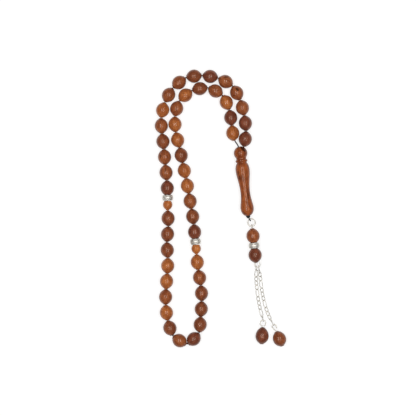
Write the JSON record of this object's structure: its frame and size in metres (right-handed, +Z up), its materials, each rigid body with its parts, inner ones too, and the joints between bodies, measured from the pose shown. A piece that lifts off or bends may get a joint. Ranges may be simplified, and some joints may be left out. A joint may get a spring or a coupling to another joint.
{
  "type": "misbaha prayer beads",
  "caption": "Strand of turned wooden prayer beads with silver discs, a vase-shaped head piece and a pendant with two chains and drop beads.",
  "frame": {"origin": "middle of the laid-out strand's outline, on the surface that it lies on", "axes": "+X across the two sides of the strand towards the pendant's side, +Y along its length towards the arch, +Z up from the surface"},
  "size_m": [0.079, 0.1667, 0.0085],
  "materials": {
    "bead_wood": "waxed, satin gloss",
    "pendant_wood": "waxed, satin gloss",
    "marker_wood": "waxed, satin gloss",
    "imame_wood": "waxed, satin gloss",
    "silver": "polished silver",
    "string": "twisted, waxed thread"
  },
  "bodies": {
    "strand": {"imame": "imame_wood", "string": "string", "strand_discs": "silver", "marker_beads": "marker_wood"},
    "jump_ring": {"jump_ring": "silver"},
    "eye_pin": {"eye_pin": "silver"},
    "chain_left": {"chain_left": "silver"},
    "chain_right": {"chain_right": "silver"},
    "drop_pin_left": {"drop_pin_left": "silver"},
    "drop_pin_right": {"drop_pin_right": "silver"},
    "drop_bead_left": {"drop_bead_left": "pendant_wood"},
    "drop_bead_right": {"drop_bead_right": "pendant_wood"},
    "pendant_bead_upper": {"pendant_bead_upper": "pendant_wood"},
    "pendant_disc": {"pendant_disc": "silver"},
    "pendant_bead_lower": {"pendant_bead_lower": "pendant_wood"},
    "strand_bead_01": {"strand_bead_01": "bead_wood"},
    "strand_bead_02": {"strand_bead_02": "bead_wood"},
    "strand_bead_03": {"strand_bead_03": "bead_wood"},
    "strand_bead_04": {"strand_bead_04": "bead_wood"},
    "strand_bead_05": {"strand_bead_05": "bead_wood"},
    "strand_bead_06": {"strand_bead_06": "bead_wood"},
    "strand_bead_07": {"strand_bead_07": "bead_wood"},
    "strand_bead_08": {"strand_bead_08": "bead_wood"},
    "strand_bead_09": {"strand_bead_09": "bead_wood"},
    "strand_bead_10": {"strand_bead_10": "bead_wood"},
    "strand_bead_11": {"strand_bead_11": "bead_wood"},
    "strand_bead_12": {"strand_bead_12": "bead_wood"},
    "strand_bead_13": {"strand_bead_13": "bead_wood"},
    "strand_bead_14": {"strand_bead_14": "bead_wood"},
    "strand_bead_15": {"strand_bead_15": "bead_wood"},
    "strand_bead_16": {"strand_bead_16": "bead_wood"},
    "strand_bead_17": {"strand_bead_17": "bead_wood"},
    "strand_bead_18": {"strand_bead_18": "bead_wood"},
    "strand_bead_19": {"strand_bead_19": "bead_wood"},
    "strand_bead_20": {"strand_bead_20": "bead_wood"},
    "strand_bead_21": {"strand_bead_21": "bead_wood"},
    "strand_bead_22": {"strand_bead_22": "bead_wood"},
    "strand_bead_23": {"strand_bead_23": "bead_wood"},
    "strand_bead_24": {"strand_bead_24": "bead_wood"},
    "strand_bead_25": {"strand_bead_25": "bead_wood"},
    "strand_bead_26": {"strand_bead_26": "bead_wood"},
    "strand_bead_27": {"strand_bead_27": "bead_wood"},
    "strand_bead_28": {"strand_bead_28": "bead_wood"},
    "strand_bead_29": {"strand_bead_29": "bead_wood"},
    "strand_bead_30": {"strand_bead_30": "bead_wood"},
    "strand_bead_31": {"strand_bead_31": "bead_wood"},
    "strand_bead_32": {"strand_bead_32": "bead_wood"},
    "strand_bead_33": {"strand_bead_33": "bead_wood"},
    "strand_bead_34": {"strand_bead_34": "bead_wood"},
    "strand_bead_35": {"strand_bead_35": "bead_wood"},
    "strand_bead_36": {"strand_bead_36": "bead_wood"},
    "strand_bead_37": {"strand_bead_37": "bead_wood"},
    "strand_bead_38": {"strand_bead_38": "bead_wood"},
    "strand_bead_39": {"strand_bead_39": "bead_wood"},
    "strand_bead_40": {"strand_bead_40": "bead_wood"},
    "strand_bead_41": {"strand_bead_41": "bead_wood"},
    "strand_bead_42": {"strand_bead_42": "bead_wood"},
    "strand_bead_43": {"strand_bead_43": "bead_wood"},
    "strand_bead_44": {"strand_bead_44": "bead_wood"},
    "strand_bead_45": {"strand_bead_45": "bead_wood"}
  },
  "joints": [
    {"name": "jump_ring_swing", "type": "hinge", "parent": "strand", "child": "jump_ring", "pos_m": [0.01753, -0.00649, 0.004], "axis": [0, 0, 1], "range_deg": [-8, 25]},
    {"name": "eye_pin_swing", "type": "hinge", "parent": "jump_ring", "child": "eye_pin", "pos_m": [0.0189, -0.01057, 0.004], "axis": [0, 0, 1], "range_deg": [-8, 25]},
    {"name": "chain_left_swing", "type": "hinge", "parent": "eye_pin", "child": "chain_left", "pos_m": [0.02159, -0.0352, 0.004], "axis": [0, 0, -1], "range_deg": [0, 20]},
    {"name": "chain_right_swing", "type": "hinge", "parent": "eye_pin", "child": "chain_right", "pos_m": [0.02304, -0.03504, 0.004], "axis": [0, 0, 1], "range_deg": [0, 35]},
    {"name": "drop_pin_left_swing", "type": "hinge", "parent": "chain_left", "child": "drop_pin_left", "pos_m": [0.02565, -0.06701, 0.004], "axis": [0, 0, -1], "range_deg": [0, 12]},
    {"name": "drop_pin_right_swing", "type": "hinge", "parent": "chain_right", "child": "drop_pin_right", "pos_m": [0.0318, -0.06965, 0.004], "axis": [0, 0, 1], "range_deg": [0, 25]},
    {"name": "pendant_bead_upper_spin", "type": "hinge", "parent": "eye_pin", "child": "pendant_bead_upper", "pos_m": [0.01955, -0.01648, 0.004], "axis": [0.1097, -0.994, 0], "continuous": true},
    {"name": "pendant_disc_spin", "type": "hinge", "parent": "eye_pin", "child": "pendant_disc", "pos_m": [0.02019, -0.0222, 0.004], "axis": [0.1097, -0.994, 0], "continuous": true},
    {"name": "pendant_bead_lower_spin", "type": "hinge", "parent": "eye_pin", "child": "pendant_bead_lower", "pos_m": [0.02082, -0.02791, 0.004], "axis": [0.1097, -0.994, 0], "continuous": true},
    {"name": "drop_bead_left_spin", "type": "hinge", "parent": "drop_pin_left", "child": "drop_bead_left", "pos_m": [0.02501, -0.07664, 0.004], "axis": [-0.0663, -0.9978, 0], "continuous": true},
    {"name": "drop_bead_right_spin", "type": "hinge", "parent": "drop_pin_right", "child": "drop_bead_right", "pos_m": [0.03549, -0.07835, 0.004], "axis": [0.3907, -0.9205, 0], "continuous": true},
    {"name": "strand_bead_01_spin", "type": "hinge", "parent": "strand", "child": "strand_bead_01", "pos_m": [0.01489, 0.0417, 0.004], "axis": [0.1392, 0.9903, 0], "continuous": true},
    {"name": "strand_bead_02_spin", "type": "hinge", "parent": "strand", "child": "strand_bead_02", "pos_m": [0.01497, 0.05122, 0.004], "axis": [-0.1219, 0.9925, 0], "continuous": true},
    {"name": "strand_bead_03_spin", "type": "hinge", "parent": "strand", "child": "strand_bead_03", "pos_m": [0.01317, 0.06049, 0.004], "axis": [-0.2588, 0.9659, 0], "continuous": true},
    {"name": "strand_bead_04_spin", "type": "hinge", "parent": "strand", "child": "strand_bead_04", "pos_m": [0.00977, 0.06934, 0.004], "axis": [-0.454, 0.891, 0], "continuous": true},
    {"name": "strand_bead_05_spin", "type": "hinge", "parent": "strand", "child": "strand_bead_05", "pos_m": [0.0031, 0.07613, 0.004], "axis": [-0.8829, 0.4695, 0], "continuous": true},
    {"name": "strand_bead_06_spin", "type": "hinge", "parent": "strand", "child": "strand_bead_06", "pos_m": [-0.00614, 0.07922, 0.004], "axis": [-0.9877, 0.1564, 0], "continuous": true},
    {"name": "strand_bead_07_spin", "type": "hinge", "parent": "strand", "child": "strand_bead_07", "pos_m": [-0.01585, 0.07939, 0.004], "axis": [-0.9925, -0.1219, 0], "continuous": true},
    {"name": "strand_bead_08_spin", "type": "hinge", "parent": "strand", "child": "strand_bead_08", "pos_m": [-0.02481, 0.07559, 0.004], "axis": [-0.7771, -0.6293, 0], "continuous": true},
    {"name": "strand_bead_09_spin", "type": "hinge", "parent": "strand", "child": "strand_bead_09", "pos_m": [-0.03107, 0.06813, 0.004], "axis": [-0.4848, -0.8746, 0], "continuous": true},
    {"name": "strand_bead_10_spin", "type": "hinge", "parent": "strand", "child": "strand_bead_10", "pos_m": [-0.03463, 0.05909, 0.004], "axis": [-0.2419, -0.9703, 0], "continuous": true},
    {"name": "strand_bead_11_spin", "type": "hinge", "parent": "strand", "child": "strand_bead_11", "pos_m": [-0.03547, 0.04959, 0.004], "axis": [0.0698, -0.9976, 0], "continuous": true},
    {"name": "strand_bead_12_spin", "type": "hinge", "parent": "strand", "child": "strand_bead_12", "pos_m": [-0.03449, 0.04025, 0.004], "axis": [0.1392, -0.9903, 0], "continuous": true},
    {"name": "strand_bead_13_spin", "type": "hinge", "parent": "strand", "child": "strand_bead_13", "pos_m": [-0.0335, 0.03092, 0.004], "axis": [0.0698, -0.9976, 0], "continuous": true},
    {"name": "strand_bead_14_spin", "type": "hinge", "parent": "strand", "child": "strand_bead_14", "pos_m": [-0.03261, 0.02159, 0.004], "axis": [0.1219, -0.9925, 0], "continuous": true},
    {"name": "strand_bead_15_spin", "type": "hinge", "parent": "strand", "child": "strand_bead_15", "pos_m": [-0.03187, 0.01222, 0.004], "axis": [0.0349, -0.9994, 0], "continuous": true},
    {"name": "strand_bead_16_spin", "type": "hinge", "parent": "strand", "child": "strand_bead_16", "pos_m": [-0.03138, -0.0059, 0.004], "axis": [0.0698, -0.9976, 0], "continuous": true},
    {"name": "strand_bead_17_spin", "type": "hinge", "parent": "strand", "child": "strand_bead_17", "pos_m": [-0.03171, -0.01539, 0.004], "axis": [-0.1392, -0.9903, 0], "continuous": true},
    {"name": "strand_bead_18_spin", "type": "hinge", "parent": "strand", "child": "strand_bead_18", "pos_m": [-0.03188, -0.02489, 0.004], "axis": [0.1045, -0.9945, 0], "continuous": true},
    {"name": "strand_bead_19_spin", "type": "hinge", "parent": "strand", "child": "strand_bead_19", "pos_m": [-0.03163, -0.03434, 0.004], "axis": [-0.0523, -0.9986, 0], "continuous": true},
    {"name": "strand_bead_20_spin", "type": "hinge", "parent": "strand", "child": "strand_bead_20", "pos_m": [-0.03228, -0.04368, 0.004], "axis": [-0.0872, -0.9962, 0], "continuous": true},
    {"name": "strand_bead_21_spin", "type": "hinge", "parent": "strand", "child": "strand_bead_21", "pos_m": [-0.03285, -0.05303, 0.004], "axis": [-0.0349, -0.9994, 0], "continuous": true},
    {"name": "strand_bead_22_spin", "type": "hinge", "parent": "strand", "child": "strand_bead_22", "pos_m": [-0.03236, -0.06248, 0.004], "axis": [0.1392, -0.9903, 0], "continuous": true},
    {"name": "strand_bead_23_spin", "type": "hinge", "parent": "strand", "child": "strand_bead_23", "pos_m": [-0.03031, -0.07172, 0.004], "axis": [0.2924, -0.9563, 0], "continuous": true},
    {"name": "strand_bead_24_spin", "type": "hinge", "parent": "strand", "child": "strand_bead_24", "pos_m": [-0.02455, -0.07923, 0.004], "axis": [0.848, -0.5299, 0], "continuous": true},
    {"name": "strand_bead_25_spin", "type": "hinge", "parent": "strand", "child": "strand_bead_25", "pos_m": [-0.016, -0.07825, 0.004], "axis": [0.7071, 0.7071, 0], "continuous": true},
    {"name": "strand_bead_26_spin", "type": "hinge", "parent": "strand", "child": "strand_bead_26", "pos_m": [-0.01216, -0.06962, 0.004], "axis": [0.0523, 0.9986, 0], "continuous": true},
    {"name": "strand_bead_27_spin", "type": "hinge", "parent": "strand", "child": "strand_bead_27", "pos_m": [-0.0115, -0.06028, 0.004], "axis": [0.0872, 0.9962, 0], "continuous": true},
    {"name": "strand_bead_28_spin", "type": "hinge", "parent": "strand", "child": "strand_bead_28", "pos_m": [-0.01134, -0.05084, 0.004], "axis": [-0.0523, 0.9986, 0], "continuous": true},
    {"name": "strand_bead_29_spin", "type": "hinge", "parent": "strand", "child": "strand_bead_29", "pos_m": [-0.01249, -0.04147, 0.004], "axis": [-0.1908, 0.9816, 0], "continuous": true},
    {"name": "strand_bead_30_spin", "type": "hinge", "parent": "strand", "child": "strand_bead_30", "pos_m": [-0.01388, -0.03217, 0.004], "axis": [-0.1045, 0.9945, 0], "continuous": true},
    {"name": "strand_bead_31_spin", "type": "hinge", "parent": "strand", "child": "strand_bead_31", "pos_m": [-0.01551, -0.01411, 0.004], "axis": [-0.0872, 0.9962, 0], "continuous": true},
    {"name": "strand_bead_32_spin", "type": "hinge", "parent": "strand", "child": "strand_bead_32", "pos_m": [-0.01665, -0.0048, 0.004], "axis": [-0.1564, 0.9877, 0], "continuous": true},
    {"name": "strand_bead_33_spin", "type": "hinge", "parent": "strand", "child": "strand_bead_33", "pos_m": [-0.01819, 0.00441, 0.004], "axis": [-0.1736, 0.9848, 0], "continuous": true},
    {"name": "strand_bead_34_spin", "type": "hinge", "parent": "strand", "child": "strand_bead_34", "pos_m": [-0.01981, 0.01359, 0.004], "axis": [-0.1736, 0.9848, 0], "continuous": true},
    {"name": "strand_bead_35_spin", "type": "hinge", "parent": "strand", "child": "strand_bead_35", "pos_m": [-0.02168, 0.02278, 0.004], "axis": [-0.225, 0.9744, 0], "continuous": true},
    {"name": "strand_bead_36_spin", "type": "hinge", "parent": "strand", "child": "strand_bead_36", "pos_m": [-0.02355, 0.03196, 0.004], "axis": [-0.1736, 0.9848, 0], "continuous": true},
    {"name": "strand_bead_37_spin", "type": "hinge", "parent": "strand", "child": "strand_bead_37", "pos_m": [-0.02567, 0.04114, 0.004], "axis": [-0.2756, 0.9613, 0], "continuous": true},
    {"name": "strand_bead_38_spin", "type": "hinge", "parent": "strand", "child": "strand_bead_38", "pos_m": [-0.02723, 0.0505, 0.004], "axis": [-0.0523, 0.9986, 0], "continuous": true},
    {"name": "strand_bead_39_spin", "type": "hinge", "parent": "strand", "child": "strand_bead_39", "pos_m": [-0.02624, 0.05998, 0.004], "axis": [0.2588, 0.9659, 0], "continuous": true},
    {"name": "strand_bead_40_spin", "type": "hinge", "parent": "strand", "child": "strand_bead_40", "pos_m": [-0.02106, 0.06796, 0.004], "axis": [0.7771, 0.6293, 0], "continuous": true},
    {"name": "strand_bead_41_spin", "type": "hinge", "parent": "strand", "child": "strand_bead_41", "pos_m": [-0.01237, 0.07192, 0.004], "axis": [0.9848, 0.1736, 0], "continuous": true},
    {"name": "strand_bead_42_spin", "type": "hinge", "parent": "strand", "child": "strand_bead_42", "pos_m": [-0.00297, 0.07052, 0.004], "axis": [0.891, -0.454, 0], "continuous": true},
    {"name": "strand_bead_43_spin", "type": "hinge", "parent": "strand", "child": "strand_bead_43", "pos_m": [0.00356, 0.06364, 0.004], "axis": [0.4067, -0.9135, 0], "continuous": true},
    {"name": "strand_bead_44_spin", "type": "hinge", "parent": "strand", "child": "strand_bead_44", "pos_m": [0.00619, 0.05448, 0.004], "axis": [0.1392, -0.9903, 0], "continuous": true},
    {"name": "strand_bead_45_spin", "type": "hinge", "parent": "strand", "child": "strand_bead_45", "pos_m": [0.00741, 0.04523, 0.004], "axis": [0.1219, -0.9925, 0], "continuous": true}
  ]
}
